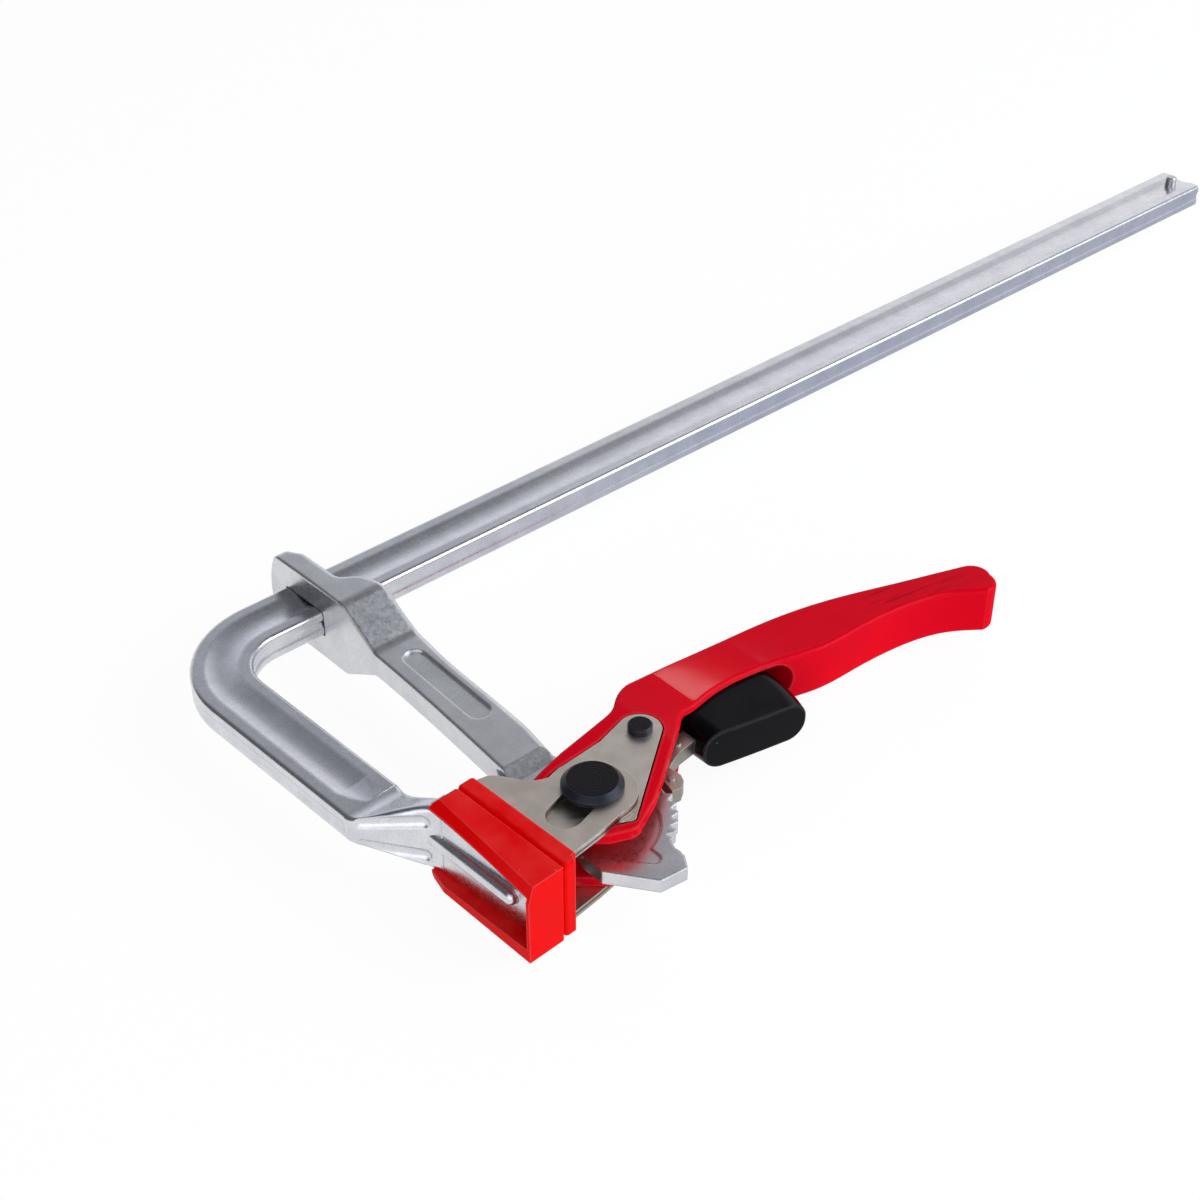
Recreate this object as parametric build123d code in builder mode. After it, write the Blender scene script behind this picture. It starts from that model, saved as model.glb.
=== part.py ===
"""Quick release lever bar clamp, lying on its side.

Millimetres. The origin is the centre of the fixed jaw cap's clamping face. +X is the
opening direction along the bar, +Y runs from the jaws to the bar, +Z is up. The clamp is
symmetric about Z = 0, apart from the heads and collars of its two pins.
"""

import os
from math import atan2, cos, degrees, radians, sin

from build123d import *

os.makedirs("parts", exist_ok=True)

# ---------------------------------------------------------------- rail and slider
rail_width = 22.0
rail_thick = 10.5
rail_corner = 1.5
rail_centre_y = 149.0
rail_end_x = 557.0
bend_radius = 28.0
arm_tilt = 2.4
arm_centre_x = -19.9
arm_centre_at_y = 75.0
groove_r = 17.3
groove_deep = 1.0
groove_lip_r = 6.0
groove_end_y = 57.0
side_groove_r = 4.7
side_groove_deep = 0.5
neck_y = 47.0
stop_pin_r = 2.5
stop_pin_half = 9.0
stop_pin_inset = 9.0
slider_clearance = 0.35
head_half = 16.0
head_end_y = 170.0
arm_half = 5.0
slope_start_y = 107.0
slope_end_y = 126.0

# ---------------------------------------------------------------- jaws
toe_in = 2.4
jaw_low = -25.0
jaw_high = 25.0
cap_half = 15.6
cap_wall = 3.6
cap_back = -14.4
plate_height = 13.2
plate_end = -23.6
plate_back_r = 2.0
rib_half = 2.8
rib_length = 48.0
rib_centre = 10.0
rib_foot = -7.0
rib_crest = -12.2
pad_gap = 0.3
pad_back = 7.2
sheet = 3.0

# ---------------------------------------------------------------- lever mechanism
pin_x, pin_y = 31.8, -2.7
rivet_x, rivet_y = 64.0, 10.4
pin_r = 5.7
pin_neck_r = 4.5
pin_head_r = 10.2
rivet_r = 3.5
rivet_head_r = 4.2
running_fit = 0.05
apart = 0.3

plate_half = 2.5
recess_half = 1.9

cheek_in = 7.2
cheek_out = 11.2
channel_half = 8.0
handle_step = 1.5
handle_half = cheek_out - handle_step
handle_edge_r = 1.6
fork_end_x = 68.0
handle_start_x = 88.0
grip_start_x = 120.0
handle_end_x = 225.0
handle_taper = 0.4
side_plate_thick = 2.0
side_plate_inset = 0.6
seat_clearance = 0.6
ear_in = 11.35
ear_out = ear_in + sheet
pin_head_low = ear_out + 0.15
pin_head_high = pin_head_low + 3.2
rivet_head_high = cheek_out + 2.6

# ratchet: teeth on circles about the main pin, one tooth to every nine degrees
tooth_pitch = 9.0
tooth_count = 6
first_tooth = -20.0
tooth_tip_r = 27.3
tooth_root_r = 25.4
tooth_flank = 1.2
tooth_crest = 2.2
tooth_gap = 2.0
hub_r = 9.5
lever_travel = 45.0

# cam: the cheeks' front edge is an involute, so the bracket retracts in proportion
cam_rate = 7.0
cam_side = 180.0 + toe_in
pad_plate_back = pad_back - 0.1
pad_plate_front = pad_plate_back - sheet
plate_top = 23.6
plate_low = -21.8
pin_to_pad = pin_x * cos(radians(toe_in)) + pin_y * sin(radians(toe_in)) - pad_plate_back
cam_start = pin_to_pad - apart

# pawl: four laminations riveted together, with the trigger pinned on their tail
lamination = 1.4
lamination_count = 4
pawl_half = lamination * lamination_count / 2
pawl_clear_r = tooth_tip_r + apart
stack_rivet_r = 1.3
tail_pin_r = 1.5
tail_pin_half = 6.5
spacer_r = 5.6
side_play = 0.1
trigger_half = 7.6
trigger_end_r = 60.0
trigger_round = 7.0
channel_end_x = 131.3

# trigger return spring, upright in the handle's channel
spring_x = 103.0
spring_r = 2.9
spring_wire_r = 0.45
spring_pitch = 2.3
spring_low = 8.0
spring_high = 26.2
spring_room = 0.9

P = Vector(pin_x, pin_y)
Q = Vector(rivet_x, rivet_y)


def polar(centre, radius, angle):
    """Point at a radius and an angle in degrees about a centre."""
    return (centre.X + radius * cos(radians(angle)), centre.Y + radius * sin(radians(angle)))


def jaw(x, y):
    """Plan point given in the jaws' own frame, which leans by the toe-in."""
    lean = radians(toe_in)
    return (x * cos(lean) - y * sin(lean), x * sin(lean) + y * cos(lean))


def jaw_section(y):
    """Upright plane across the jaws at this place, with its first axis out of the clamping face."""
    return Plane(origin=jaw(0, y), x_dir=jaw(1, 0), z_dir=jaw(0, -1))


def arm_x(y):
    """Centre line of the fixed arm."""
    return arm_centre_x + (arm_centre_at_y - y) * sin(radians(arm_tilt))


def keep(builder, name):
    """Names the finished solid and writes it."""
    builder.part.label = name
    export_step(builder.part, f"parts/{name}.step")


def cam_point(turn, inset=0.0):
    """Point that meets the pad plate after this much opening turn, on the cam or inset from it."""
    side = cam_side + turn
    reach = cam_start - inset - cam_rate * radians(turn)
    x = reach * cos(radians(side)) + cam_rate * sin(radians(side))
    y = reach * sin(radians(side)) - cam_rate * cos(radians(side))
    return (pin_x + x, pin_y + y)


# ================================================================ rail with fixed arm
def rail_section(depth):
    """Rolled section: a broad hollow along each wide face, a fine groove along each narrow side."""
    Rectangle(rail_width, rail_thick)
    fillet(vertices(), rail_corner)
    for side in (1, -1):
        with Locations((0, side * (rail_thick / 2 - depth + groove_r))):
            Circle(groove_r, mode=Mode.SUBTRACT)
        with Locations((side * (rail_width / 2 - side_groove_deep + side_groove_r), 0)):
            Circle(side_groove_r, mode=Mode.SUBTRACT)
    on_face = vertices().filter_by(lambda v: abs(abs(v.Y) - rail_thick / 2) < 0.01)
    fillet(on_face.filter_by(lambda v: abs(v.X) < rail_width / 2 - rail_corner - 0.5), groove_lip_r)


jaw_plane = Plane.XY.rotated((0, 0, toe_in))
corner_x = arm_centre_x - (rail_centre_y - arm_centre_at_y) * sin(radians(arm_tilt))
neck_x = arm_x(neck_y)

with BuildPart() as bar_and_fixed_arm:
    with BuildLine() as rail_path:
        FilletPolyline(
            (rail_end_x, rail_centre_y), (corner_x, rail_centre_y), (arm_x(groove_end_y), groove_end_y),
            radius=bend_radius,
        )
    with BuildSketch(Plane(origin=(rail_end_x, rail_centre_y, 0), x_dir=(0, 1, 0), z_dir=(-1, 0, 0))):
        rail_section(groove_deep)
    sweep(path=rail_path.wires()[0])
    # The hollows run out before the neck
    add(bar_and_fixed_arm.faces().sort_by(Axis.Y)[0])
    for beyond, share in ((4.0, 0.6), (7.5, 0.25), (groove_end_y - neck_y, 0.04)):
        level = groove_end_y - beyond
        down_arm = (sin(radians(arm_tilt)), -cos(radians(arm_tilt)), 0)
        with BuildSketch(Plane(origin=(arm_x(level), level, 0), x_dir=(1, 0, 0), z_dir=down_arm)):
            rail_section(groove_deep * share)
    loft()
    # Neck: the flat rail is forged down into the jaw plate and spreads in height
    neck_sections = (
        (neck_y, neck_x - rail_width / 2, neck_x + rail_width / 2, rail_thick / 2, rail_corner),
        (42.0, -28.4, -8.2, 5.8, 2.0),
        (36.5, -23.6, -7.8, 8.4, 3.0),
        (31.0, -18.6, -6.6, 11.2, 3.4),
        (26.0, -14.0, -5.2, 12.9, 2.6),
        (20.0, -11.3, -4.6, 13.1, 2.0),
    )
    for y, x_out, x_in, half, corner in neck_sections:
        with BuildSketch(Plane(origin=((x_out + x_in) / 2, y, 0), x_dir=(1, 0, 0), z_dir=(0, -1, 0))):
            RectangleRounded(x_in - x_out, 2 * half, corner)
    loft()
    # Jaw plate behind the cap
    with BuildPart(mode=Mode.PRIVATE) as jaw_plate:
        with BuildSketch(jaw_plane.offset(-plate_height)):
            with BuildLine():
                Polyline(
                    (-cap_wall, 26.4), (-cap_wall, plate_end), (-8.4, plate_end), (-9.2, -6.0), (-10.2, 21.0),
                    (-9.0, 26.4), close=True,
                )
            make_face()
        extrude(amount=2 * plate_height)
        rims = jaw_plate.edges().filter_by(lambda e: abs(abs(e.center().Z) - plate_height) < 0.01)
        back_rims = rims.filter_by(lambda e: e.center().X < -8 and e.center().Y < 18 and e.length > 10)
        fillet(back_rims, plate_back_r)
    add(jaw_plate.part)
    # Rounded rib down its back
    with BuildPart(mode=Mode.PRIVATE) as rib:
        with BuildSketch(Plane(origin=jaw(rib_foot, rib_centre), x_dir=jaw(0, 1), z_dir=jaw(-1, 0))):
            SlotOverall(rib_length, 2 * rib_half)
        extrude(amount=rib_foot - rib_crest)
        fillet(rib.faces().sort_by(Axis.X)[0].edges(), 2.2)
    add(rib.part)
    # Lens-shaped hollows beside the rib, where the neck turns into the plate
    for side in (1, -1):
        hollow_start = Vector(-31.5, 41.5, side * 4.4)
        hollow_end = Vector(-13.5, 22.3, side * 7.6)
        with BuildPart(mode=Mode.PRIVATE) as hollow:
            with BuildSketch(Plane(origin=hollow_start, z_dir=hollow_end - hollow_start)):
                Circle(3.6)
            extrude(amount=(hollow_end - hollow_start).length)
            fillet(hollow.edges(), 3.5)
        add(hollow.part, mode=Mode.SUBTRACT)
    # Hole for the end stop pin
    with BuildSketch(Plane.XY.offset(-rail_thick)):
        with Locations((rail_end_x - stop_pin_inset, rail_centre_y)):
            Circle(stop_pin_r)
    extrude(amount=2 * rail_thick, mode=Mode.SUBTRACT)
    chamfer(bar_and_fixed_arm.faces().sort_by(Axis.X)[-1].edges(), 0.5)

keep(bar_and_fixed_arm, "bar_and_fixed_arm")

# Stop pin pressed through the rail near its far end keeps the slider on
with BuildPart() as bar_stop_pin:
    with BuildSketch(Plane.XY.offset(-stop_pin_half)):
        with Locations((rail_end_x - stop_pin_inset, rail_centre_y)):
            Circle(stop_pin_r)
    extrude(amount=2 * stop_pin_half)
    chamfer(bar_stop_pin.edges().filter_by(GeomType.CIRCLE), 0.5)

keep(bar_stop_pin, "bar_stop_pin")

# ================================================================ fixed jaw cap
with BuildPart() as fixed_jaw_cap:
    with BuildSketch(jaw_plane.offset(-cap_half)):
        with BuildLine():
            Polyline(
                (0, jaw_high), (0, jaw_low), (-14.6, jaw_low), (-14.0, 16.5), (-11.7, jaw_high), close=True,
            )
        make_face()
    extrude(amount=2 * cap_half)
    neck_side = fixed_jaw_cap.faces().sort_by(Axis.Y)[-1].edges()
    fillet(neck_side.filter_by(lambda e: abs(e.center().Z) > cap_half - 1), 2.0)
    fillet(fixed_jaw_cap.faces().sort_by(Axis.X)[-1].edges(), 1.0)
    # The upper lip slopes down to the back, more so near the neck
    with BuildPart(mode=Mode.PRIVATE) as slope:
        lip_ends = (
            (jaw_high + 1, (-7.6, cap_half), (-11.9, 13.0)),
            (jaw_low - 1, (-12.8, cap_half), (-14.3, 10.4)),
        )
        for y, brow, ridge in lip_ends:
            with BuildSketch(jaw_section(y)):
                with BuildLine():
                    run = Vector(*brow) - Vector(*ridge)
                    above = Vector(*brow) + run * 0.6
                    below = Vector(*ridge) - run * 3
                    Polyline(above, below, (-40, cap_half + 5), close=True)
                make_face()
        loft(ruled=True)
    add(slope.part, mode=Mode.SUBTRACT)
    # Room for the steel plate: both lips hook over its back, and the neck's side is open
    with BuildPart(mode=Mode.PRIVATE) as pocket:
        for y, foot, mouth_half in ((jaw_high + 5, -10.9, plate_height), (plate_end, -8.9, 10.7)):
            with BuildSketch(jaw_section(y)):
                with BuildLine():
                    upper = Polyline(
                        (-cap_wall, plate_height), (foot, plate_height),
                        (cap_back, mouth_half), (-20, mouth_half),
                    )
                    lower = Polyline(
                        (-20, -mouth_half), (cap_back, -mouth_half),
                        (foot, -plate_height), (-cap_wall, -plate_height),
                    )
                    Line(upper @ 1, lower @ 0)
                    Line(lower @ 1, upper @ 0)
                make_face()
        loft(ruled=True)
    add(pocket.part, mode=Mode.SUBTRACT)

keep(fixed_jaw_cap, "fixed_jaw_cap")

# ================================================================ moving jaw cap
with BuildPart() as moving_jaw_cap:
    with BuildSketch(jaw_plane.offset(-cap_half)):
        with BuildLine():
            Polyline(
                (pad_gap, jaw_high), (pad_back, jaw_high), (pad_back, jaw_low + 2.8),
                (pad_back - 2.4, jaw_low + 2.2), (pad_back - 2.6, jaw_low), (pad_gap, jaw_low), close=True,
            )
        make_face()
    extrude(amount=2 * cap_half)
    rims = moving_jaw_cap.edges().filter_by(lambda e: abs(abs(e.center().Z) - cap_half) < 0.01)
    fillet(rims.filter_by(lambda e: e.length > 20), 1.6)
    fillet(moving_jaw_cap.edges().filter_by(Axis.Z).filter_by(lambda e: e.center().X < 3), 1.2)
    with BuildSketch(jaw_plane.offset(-ear_out)):
        with BuildLine():
            Polyline(
                (pad_plate_front, plate_top), (pad_back + 5, plate_top),
                (pad_back + 5, plate_low), (pad_plate_front, plate_low), close=True,
            )
        make_face()
    extrude(amount=2 * ear_out, mode=Mode.SUBTRACT)

keep(moving_jaw_cap, "moving_jaw_cap")

# ================================================================ pressure bracket
slot_r = pin_r + apart
S = Vector(16.5, -7.0)
slot_angle = degrees(atan2(P.Y - S.Y, P.X - S.X))
with BuildPart() as pressure_bracket:
    # Folded sheet: two ears joined by the plate that sits in the cap
    for level in (-ear_out, ear_in):
        with BuildSketch(Plane.XY.offset(level)):
            with BuildLine():
                near = Polyline(jaw(pad_plate_front, plate_low), (19.9, -19.8), (31.5, -17.9))
                end = ThreePointArc(near @ 1, (44.9, -4.4), (34.0, 7.9))
                back = Line(end @ 1, (26.4, 9.2))
                swoop = Spline(
                    back @ 1, (18.8, 12.4), (13.1, 20.3), (9.8, 23.2), tangents=((-1, 0.16), (-1, 0.45)),
                )
                Polyline(swoop @ 1, jaw(pad_plate_back, plate_top), jaw(pad_plate_front, plate_top), near @ 0)
            make_face()
        extrude(amount=sheet)
    with BuildSketch(jaw_plane.offset(-ear_out)):
        with BuildLine():
            Polyline(
                (pad_plate_front, plate_top), (pad_plate_back, plate_top),
                (pad_plate_back, plate_low), (pad_plate_front, plate_low), close=True,
            )
        make_face()
    extrude(amount=2 * ear_out)
    # Slots that slide on the main pin
    with BuildSketch(Plane.XY.offset(-20)):
        with Locations(Location(tuple((S + P) / 2), slot_angle)):
            SlotCenterToCenter((P - S).length, 2 * slot_r)
    extrude(amount=40, mode=Mode.SUBTRACT)

keep(pressure_bracket, "pressure_bracket")

# ================================================================ sliding arm
with BuildPart() as sliding_arm:
    # Arm and slider head in plan, cut to height by the profile seen along the bar
    with BuildSketch(Plane.XY.offset(-head_half)):
        with BuildLine():
            left = Spline((21.5, 22.0), (24.0, 56.0), (26.2, 95.0), (26.7, 130.0), (25.4, head_end_y + 1))
            side = Polyline(left @ 1, (29.0, head_end_y + 1), (35.4, 160.5), (36.2, 143.0))
            swell = Spline(
                side @ 1, (40.4, 138.0), (45.6, 129.5), (46.5, 112.0), tangents=((0.02, -1), (0.06, -1)),
            )
            right = Spline(
                swell @ 1, (45.2, 93.5), (43.9, 69.6), (42.6, 42.0), tangents=((0.06, -1), (-0.08, -1)),
            )
            Polyline(right @ 1, (40.4, 28.4), (38.0, 22.0), left @ 0)
        make_face()
    extrude(amount=2 * head_half)
    with BuildSketch(Plane.YZ):
        with BuildLine():
            up = Polyline(
                (18, plate_half), (25, plate_half), (31, arm_half), (slope_start_y, arm_half),
                (slope_end_y, head_half),
            )
            crown = ThreePointArc((head_end_y - 4, head_half), (head_end_y, 0), (head_end_y - 4, -head_half))
            down = Polyline(
                (slope_end_y, -head_half), (slope_start_y, -arm_half), (31, -arm_half), (25, -plate_half),
                (18, -plate_half),
            )
            Line(up @ 1, crown @ 0)
            Line(crown @ 1, down @ 0)
            Line(down @ 1, up @ 0)
        make_face()
        fillet(vertices().filter_by(lambda v: slope_start_y - 1 < v.X < slope_end_y + 1), 7.0)
        fillet(vertices().filter_by(lambda v: v.X > head_end_y - 5), 3.0)
    extrude(amount=60, both=True, mode=Mode.INTERSECT)
    # Broad rounding where the head faces the bar's far end, a finer one elsewhere
    head_back = sliding_arm.edges().filter_by(lambda e: abs(e.center().Z) > head_half - 1 and e.length > 4)
    head_back = head_back.filter_by(lambda e: 33 < e.center().X < 38 and 145 < e.center().Y < head_end_y - 6)
    fillet(head_back, 2.4)
    crosswise = sliding_arm.edges().filter_by(Axis.X)
    rims = [e for e in sliding_arm.edges() if e.center().Y > 35 and abs(e.center().Z) > 1]
    rims = [e for e in rims if e not in crosswise and e.length > 1]
    fillet([e for e in rims if e.center().X < 32 or e.center().Y < 143 or e.center().Y > 162], 0.9)
    # Thin end plate and toothed sector
    tooth_top = first_tooth + 8.0
    tooth_end = first_tooth - tooth_pitch * (tooth_count - 1)
    with BuildSketch(Plane.XY.offset(-plate_half)):
        with BuildLine():
            start = Line((40.4, 28.4), (44.5, 8.0))
            edge = Line(start @ 1, polar(P, tooth_root_r, tooth_top))
            last = edge @ 1
            for i in range(tooth_count):
                face = first_tooth - tooth_pitch * i
                root = Line(last, polar(P, tooth_root_r, face + tooth_flank))
                flank = Line(root @ 1, polar(P, tooth_tip_r, face))
                crest = Line(flank @ 1, polar(P, tooth_tip_r, face - tooth_crest))
                if i < tooth_count - 1:
                    land = face - tooth_pitch + tooth_flank + tooth_gap
                    back = Line(crest @ 1, polar(P, tooth_root_r, land))
                    last = back @ 1
                else:
                    last = crest @ 1
            Polyline(
                last, (41.0, -31.3), (41.2, -33.3), (40.8, -36.0), (37.9, -40.4), (27.8, -39.1),
                (16.8, -24.2), (16.8, -10.0), (17.2, 20.0), (20.0, 30.0), (22.2, 34.0), (30.0, 34.0),
                (40.4, 28.4),
            )
        make_face()
    extrude(amount=2 * plate_half)
    # Stepped recess for the lever's hub on both faces of the plate
    for level, direction in ((recess_half, 1), (-recess_half, -1)):
        with BuildSketch(Plane.XY.offset(level)):
            with BuildLine():
                r1 = ThreePointArc((49.6, -12.7), (45.7, -19.8), (35.3, -26.4))
                r2 = Line(r1 @ 1, (35.3, -30.5))
                r3 = ThreePointArc(r2 @ 1, (33.3, -32.5), (30.6, -31.1))
                r4 = Line(r3 @ 1, (14.0, -11.5))
                r5 = Line(r4 @ 1, (14.0, 16.0))
                r6 = Line(r5 @ 1, (40.0, 16.0))
                Line(r6 @ 1, r1 @ 0)
            make_face()
        extrude(amount=direction * 3.0, mode=Mode.SUBTRACT)
    # Slot for the rail
    with BuildSketch(Plane.YZ):
        with Locations((rail_centre_y, 0)):
            RectangleRounded(rail_width + 2 * slider_clearance, rail_thick + 2 * slider_clearance, 1.4)
    extrude(amount=60, mode=Mode.SUBTRACT)
    # Stadium pockets in both faces of the arm
    for level, direction in ((arm_half - 1.0, 1), (-arm_half + 1.0, -1)):
        with BuildSketch(Plane.XY.offset(level)):
            with Locations(Location((35.6, 77.5), -2.0)):
                SlotOverall(45.5, 8.6, rotation=90)
        extrude(amount=direction * 3.0, mode=Mode.SUBTRACT)
    with BuildSketch(Plane.XY.offset(-plate_half)):
        with Locations(P):
            Circle(pin_r)
    extrude(amount=2 * plate_half, mode=Mode.SUBTRACT)

keep(sliding_arm, "sliding_arm")

# ================================================================ main pin
with BuildPart() as main_pin:
    with BuildSketch(Plane.XY.offset(-pin_head_high)):
        with Locations(P):
            Circle(pin_neck_r)
    extrude(amount=pin_head_high)
    with BuildSketch(Plane.XY.offset(-pin_head_low)):
        with Locations(P):
            Circle(pin_r)
    extrude(amount=2 * pin_head_low)
    with BuildSketch(Plane.XY.offset(pin_head_low)):
        with Locations(P):
            Circle(pin_head_r)
    extrude(amount=pin_head_high - pin_head_low)
    chamfer(main_pin.faces().sort_by(Axis.Z)[-1].edges(), 1.8, 1.8)

keep(main_pin, "main_pin")

with BuildPart() as main_pin_collar:
    with BuildSketch(Plane.XY.offset(-pin_head_high)):
        with Locations(P):
            Circle(pin_head_r)
            Circle(pin_neck_r, mode=Mode.SUBTRACT)
    extrude(amount=pin_head_high - pin_head_low)
    chamfer(main_pin_collar.faces().sort_by(Axis.Z)[0].outer_wire().edges(), 1.8, 1.8)

keep(main_pin_collar, "main_pin_collar")

# ================================================================ lever
with BuildPart() as lever:
    with BuildSketch(Plane.XY.offset(-cheek_out)):
        with BuildLine():
            cam = Spline(*[cam_point(lever_travel * i / 4) for i in range(5)])
            nose = TangentArc(cam @ 0, (15.6, 11.4), tangent=(-sin(radians(toe_in)), cos(radians(toe_in))))
            fork = Polyline(nose @ 1, (20.9, 15.0), (26.6, 16.9), (37.4, 19.6), (47.4, 21.3), (57.7, 23.1))
            shoulder = Spline(
                fork @ 1, (65.0, 25.2), (69.8, 28.8), (75.0, 31.3), (84.0, 31.5),
                tangents=((1, 0.17), (1, -0.03)),
            )
            back = Spline(
                shoulder @ 1, (109.4, 29.4), (140.0, 26.1), (165.0, 20.4), (191.9, 10.9), (217.0, 1.9),
                tangents=((1, -0.03), (1, -0.4)),
            )
            tip1 = ThreePointArc(back @ 1, (220.8, -1.6), (220.2, -8.0))
            tip2 = ThreePointArc(tip1 @ 1, (217.0, -13.4), (211.4, -14.4))
            front = Spline(
                tip2 @ 1, (200.0, -6.4), (180.0, -0.6), (160.0, 1.1), (141.0, 2.4), (128.0, 6.0),
                (112.0, 9.3), (95.0, 9.6), (84.0, 8.2), (76.5, 4.5), tangents=((-1, 0.8), (-1, -0.9)),
            )
            rim = Polyline(
                front @ 1, (70.7, 0.6), (50.6, -13.8), (45.3, -17.2), (37.7, -20.9), (33.0, -23.3),
                (30.0, -23.0), (23.6, -20.3), cam @ 1,
            )
        make_face()
    extrude(amount=2 * cheek_out)
    # Height profile: full over the fork, slimmer over the handle
    with BuildSketch(Plane.XZ):
        with BuildLine():
            upper = Polyline(
                (-5, cheek_out), (fork_end_x, cheek_out), (handle_start_x, handle_half + 0.5),
                (grip_start_x, handle_half), (handle_end_x, handle_half - handle_taper),
            )
            lower = Polyline(
                (handle_end_x, handle_taper - handle_half), (grip_start_x, -handle_half),
                (handle_start_x, -handle_half - 0.5), (fork_end_x, -cheek_out), (-5, -cheek_out),
            )
            Line(upper @ 1, lower @ 0)
            Line(lower @ 1, upper @ 0)
        make_face()
    extrude(amount=80, both=True, mode=Mode.INTERSECT)
    handle_rims = lever.edges().filter_by(lambda e: e.center().X > 90 and abs(e.center().Z) > handle_half - 1)
    fillet(handle_rims, handle_edge_r)
    # Space between the cheeks, open on the near side and closed by the web along the back
    with BuildPart(mode=Mode.PRIVATE) as channel:
        with BuildSketch(Plane.XY.offset(-channel_half)):
            with BuildLine():
                c1 = Polyline(
                    (-10, 60), (57.0, 60), (57.0, 21.0), (64.0, 21.0), (70.0, 24.4), (78.0, 27.2),
                    (95.0, 27.0), (112.0, 25.6), (channel_end_x - 6.5, 23.6),
                )
                c2 = ThreePointArc(c1 @ 1, (channel_end_x - 1.9, 21.4), (channel_end_x, 16.0))
                Polyline(c2 @ 1, (channel_end_x, -60), (-10, -60), (-10, 60))
            make_face()
        extrude(amount=2 * channel_half)
        # Wider round the trigger, and its far end is a full round, like the trigger's
        with BuildSketch(Plane.XZ):
            with BuildLine():
                round_x = channel_end_x - channel_half
                above = Polyline((-20, cheek_in), (74, cheek_in), (76, channel_half), (round_x, channel_half))
                round_end = ThreePointArc(above @ 1, (channel_end_x, 0), (round_x, -channel_half))
                below = Polyline(round_end @ 1, (76, -channel_half), (74, -cheek_in), (-20, -cheek_in))
                Line(below @ 1, above @ 0)
            make_face()
        extrude(amount=80, both=True, mode=Mode.INTERSECT)
    add(channel.part, mode=Mode.SUBTRACT)
    # Hub bosses inside the cheeks
    for level, direction in ((plate_half + side_play, 1), (-plate_half - side_play, -1)):
        with BuildSketch(Plane.XY.offset(level)):
            with Locations(P):
                Circle(hub_r)
        extrude(amount=direction * (cheek_in - plate_half))
    # Seats for the side plates in the outer faces
    for level, direction in ((cheek_out - side_plate_thick, 1), (-cheek_out + side_plate_thick, -1)):
        with BuildSketch(Plane.XY.offset(level)):
            with BuildLine():
                s1 = Line((34.0, 14.2), (50.4, 15.2))
                s2 = Line(s1 @ 1, (62.4, 18.4))
                s3 = ThreePointArc(s2 @ 1, (72.0, 12.2), (70.0, 5.2))
                s4 = Line(s3 @ 1, (35.8, -19.9))
                s5 = ThreePointArc(s4 @ 1, (34.0, -20.8), (31.6, -20.0))
                s6 = Line(s5 @ 1, cam_point(lever_travel, -seat_clearance))
                s7 = Spline(*[cam_point(lever_travel * i / 3, -seat_clearance) for i in (3, 2, 1, 0)])
                s8 = ThreePointArc(s7 @ 1, (15.2, 8.8), (31.6, 14.2))
                Line(s8 @ 1, s1 @ 0)
            make_face()
        extrude(amount=direction * 5.0, mode=Mode.SUBTRACT)
    with BuildSketch(Plane.XY.offset(-20)):
        with Locations(P):
            Circle(pin_r + running_fit)
        with Locations(Q):
            Circle(rivet_r)
    extrude(amount=40, mode=Mode.SUBTRACT)

keep(lever, "lever")

# ================================================================ side plates
for name, level in (("side_plate_upper", cheek_out - side_plate_thick), ("side_plate_lower", -cheek_out)):
    with BuildPart() as side_plate:
        with BuildSketch(Plane.XY.offset(level)):
            with BuildLine():
                s1 = Line((34.0, 13.6), (50.4, 14.6))
                s2 = Line(s1 @ 1, (62.6, 17.9))
                s3 = ThreePointArc(s2 @ 1, (71.5, 12.2), (69.6, 5.6))
                s4 = Line(s3 @ 1, (35.6, -19.4))
                s5 = ThreePointArc(s4 @ 1, (34.0, -20.3), (31.8, -19.5))
                s6 = Line(s5 @ 1, cam_point(lever_travel, side_plate_inset))
                s7 = Spline(*[cam_point(lever_travel * i / 3, side_plate_inset) for i in (3, 2, 1, 0)])
                s8 = ThreePointArc(s7 @ 1, (15.8, 8.2), (31.8, 13.6))
                Line(s8 @ 1, s1 @ 0)
            make_face()
            with Locations(P):
                Circle(pin_r + running_fit, mode=Mode.SUBTRACT)
            with Locations(Q):
                Circle(rivet_r, mode=Mode.SUBTRACT)
        extrude(amount=side_plate_thick)
    keep(side_plate, name)

# ================================================================ pawl rivet
with BuildPart() as pawl_rivet:
    with BuildSketch(Plane.XY.offset(-rivet_head_high)):
        with Locations(Q):
            Circle(rivet_r)
    extrude(amount=2 * rivet_head_high)
    with BuildSketch(Plane.XY.offset(cheek_out)):
        with Locations(Q):
            Circle(rivet_head_r)
    extrude(amount=rivet_head_high - cheek_out)
    chamfer(pawl_rivet.faces().sort_by(Axis.Z)[-1].edges(), 0.5)

keep(pawl_rivet, "pawl_rivet")

with BuildPart() as pawl_rivet_collar:
    with BuildSketch(Plane.XY.offset(-rivet_head_high)):
        with Locations(Q):
            Circle(rivet_head_r)
            Circle(rivet_r, mode=Mode.SUBTRACT)
    extrude(amount=rivet_head_high - cheek_out)
    chamfer(pawl_rivet_collar.faces().sort_by(Axis.Z)[0].outer_wire().edges(), 0.4)

keep(pawl_rivet_collar, "pawl_rivet_collar")

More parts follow.
